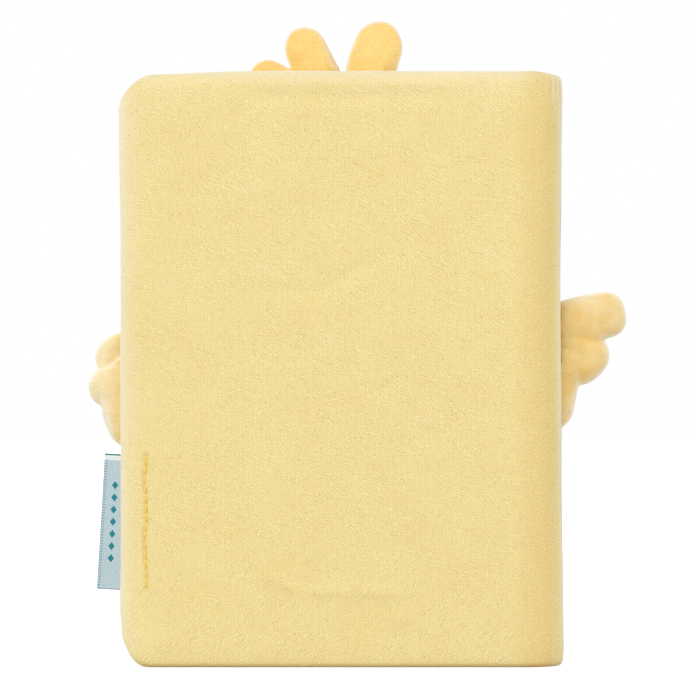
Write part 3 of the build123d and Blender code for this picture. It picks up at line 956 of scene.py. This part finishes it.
# edges of the trimmed leaves: a leaf is 0.1 mm thick, drawn as bundles of nearly 0.5 mm so that they show
leaves, tree, shader = newMaterial("leafEdgesTrimmed", Roughness=0.85, IOR=1.47, Specular_IOR_Level=0.3)
place = addNode(tree, "ShaderNodeTexCoord").outputs["Object"]
bundle = addNode(tree, "ShaderNodeMapping", {
    "Vector": place, "Scale": (60 * mm, 0.22 * mm, 60 * mm),
}, vector_type="TEXTURE").outputs[0]
lines = addNode(tree, "ShaderNodeTexNoise", {
    "Vector": bundle, "Scale": 1.0, "Detail": 2.0, "Roughness": 0.6,
}).outputs["Fac"]
tint = addNode(tree, "ShaderNodeValToRGB", {"Fac": lines}, stops=(
    (0.36, "e2d8c0"), (0.62, "faf5e8"),
)).outputs["Color"]
tree.links.new(tint, shader.inputs["Base Color"])
fan = addNode(tree, "ShaderNodeBump", {"Strength": 0.4, "Distance": 0.15 * mm, "Height": lines})
tree.links.new(fan.outputs[0], shader.inputs["Normal"])

# headband: cotton wound over a cord, cream and yellow by turns of 1.6 mm
cotton, tree, shader = newMaterial("headbandCotton", Roughness=0.8, IOR=1.5, Sheen_Weight=0.2)
place = addNode(tree, "ShaderNodeTexCoord").outputs["Object"]
winding = addNode(tree, "ShaderNodeTexWave", {
    "Vector": place, "Scale": 1 / (1.6 * rowUnit), "Distortion": 0.3,
}, bands_direction="Y").outputs["Fac"]
tint = addNode(tree, "ShaderNodeValToRGB", {"Fac": winding}, stops=(
    (0.42, "eac565"), (0.58, "f7efdb"),
)).outputs["Color"]
tree.links.new(tint, shader.inputs["Base Color"])
wound = addNode(tree, "ShaderNodeBump", {"Strength": 0.5, "Distance": 0.2 * mm, "Height": winding})
tree.links.new(wound.outputs[0], shader.inputs["Normal"])

# lining cloth: open cotton mull under size, a plain weave of 0.9 mm
mull, tree, shader = newMaterial("liningMullCotton", Roughness=0.9, IOR=1.5)
place = addNode(tree, "ShaderNodeTexCoord").outputs["Object"]
warp, weft = (
    addNode(tree, "ShaderNodeTexWave", {
        "Vector": place, "Scale": 1 / (0.9 * rowUnit),
    }, bands_direction=way).outputs["Fac"]
    for way in ("Y", "Z")
)
woven = addNode(tree, "ShaderNodeMath", {0: warp, 1: weft}, operation="MAXIMUM").outputs[0]
tint = addNode(tree, "ShaderNodeValToRGB", {"Fac": woven}, stops=(
    (0.4, "cfc3a8"), (0.9, "efe7d4"),
)).outputs["Color"]
tree.links.new(tint, shader.inputs["Base Color"])
holes = addNode(tree, "ShaderNodeBump", {"Strength": 0.5, "Distance": 0.2 * mm, "Height": woven})
tree.links.new(holes.outputs[0], shader.inputs["Normal"])

for material, names in (
    (leaves, ("text_block",)),
    (endpaper, ("front_flyleaf", "back_flyleaf", "front_pastedown", "back_pastedown")),
    (card, ("front_board", "back_board", "front_infill", "back_infill", "spine_strip")),
    (cotton, ("head_band", "tail_band")),
    (mull, ("spine_lining",)),
):
    for name in names:
        nodes[name].data.materials.clear()
        nodes[name].data.materials.append(material)

# the endpaper goes on from the leaf to the cover, as a thin strip across the joint
fold = {"from": -6.0, "to": 4.6, "low": 4.2, "high": 210.8, "leaf": 6.25, "cover": 6.44, "thick": 0.08}
for name, side, body, leaf in (
    ("backEndpaperFold", -1, "back_cover", "back_flyleaf"),
    ("frontEndpaperFold", 1, "front_cover", "front_flyleaf"),
):
    xs = np.linspace(fold["from"], fold["to"], 54)
    zs = np.linspace(fold["low"], fold["high"], 42)
    ys = side * (fold["cover"] + (fold["leaf"] - fold["cover"]) * smoothStep(fold["from"], fold["to"], xs))
    grid = np.stack(np.broadcast_arrays(xs[None, :], ys[None, :], zs[:, None]), -1)
    normals = np.broadcast_to(np.array((0, -1.0, 0)), grid.shape)
    strip = thinSheet(name, grid, normals, fold["thick"], endpaper)
    cut = ((fold["to"] - fold["from"]) * mm, (fold["high"] - fold["low"]) * mm)
    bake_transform(strip)
print("paper and boards finished")


# camera, floor and light
view = {
    "frameWidth": 249.8,  # mm across the picture at the notebook
    "middle": (-64.8, 0.0, 116.0),
    "distance": 2400.0,
    "rise": 1.5,  # degrees above the horizon
}
studio = {
    "floor": "cecdca",
    "floorGlow": 0.6,  # added where the floor itself is seen, so that it comes out white
    "floorHalf": 2.0,  # metres
    "sky": 0.55,  # light from all round; white where it is seen itself
    "lamps": (  # name, place and size in metres, watts
        ("keySoftbox", (-2.2, -3.8, 2.5), 3.0, 131.0),
        ("fillSoftbox", (1.7, -0.6, 0.12), 1.0, 15.0),
        ("rearSoftbox", (-0.7, 1.5, 0.8), 1.2, 17.0),
    ),
}
lens = bpy.data.cameras.new("studioCamera")
lens.sensor_width = 36
lens.lens = 36 * view["distance"] / view["frameWidth"]
lens.clip_end = 50
camera = bpy.data.objects.new("studioCamera", lens)
bpy.context.scene.collection.objects.link(camera)
rise = math.radians(view["rise"])
middle = Vector(view["middle"]) * mm
camera.location = middle + Vector((0, -math.cos(rise), math.sin(rise))) * view["distance"] * mm
camera.rotation_euler = (math.pi / 2 - rise, 0, 0)
bpy.context.scene.camera = camera


# 1 where the eye sees a thing itself, or by a reflection or through glass, and 0 where it only gives light
def seenItself(tree):
    ray = addNode(tree, "ShaderNodeLightPath").outputs
    seen = addNode(tree, "ShaderNodeMath", {
        0: ray["Is Camera Ray"], 1: ray["Is Glossy Ray"],
    }, operation="MAXIMUM").outputs[0]
    return addNode(tree, "ShaderNodeMath", {
        0: seen, 1: ray["Is Transmission Ray"],
    }, operation="MAXIMUM").outputs[0]


# background paper: matt, pale grey to the light so that it throws little back, white to the eye
floorPaper, tree, shader = newMaterial(
    "studioPaper", Base_Color=linear(studio["floor"]), Roughness=0.95, Emission_Color=linear("ffffff"),
)
glow = addNode(tree, "ShaderNodeMath", {
    0: seenItself(tree), 1: studio["floorGlow"],
}, operation="MULTIPLY").outputs[0]
tree.links.new(glow, shader.inputs["Emission Strength"])
half = studio["floorHalf"]
corners = [(-half, -half, 0), (half, -half, 0), (half, half, 0), (-half, half, 0)]
floor = makeObject("studioFloor", corners, [(0, 1, 2, 3)], floorPaper)

world = bpy.data.worlds.new("studioSky")
world.use_nodes = True
bpy.context.scene.world = world
tree = world.node_tree
level = addNode(tree, "ShaderNodeMapRange", {
    "Value": seenItself(tree), "To Min": studio["sky"], "To Max": 1.0,
}).outputs["Result"]
sky = tree.nodes["Background"]
sky.inputs["Color"].default_value = linear("ffffff")
tree.links.new(level, sky.inputs["Strength"])

for name, place, size, power in studio["lamps"]:
    light = bpy.data.lights.new(name, "AREA")
    light.size = size
    light.energy = power
    lamp = bpy.data.objects.new(name, light)
    bpy.context.scene.collection.objects.link(lamp)
    lamp.location = place
    lamp.rotation_euler = (middle - Vector(place)).to_track_quat("-Z", "Y").to_euler()
bpy.context.scene.view_settings.view_transform = "Standard"
print("camera, floor and light set")
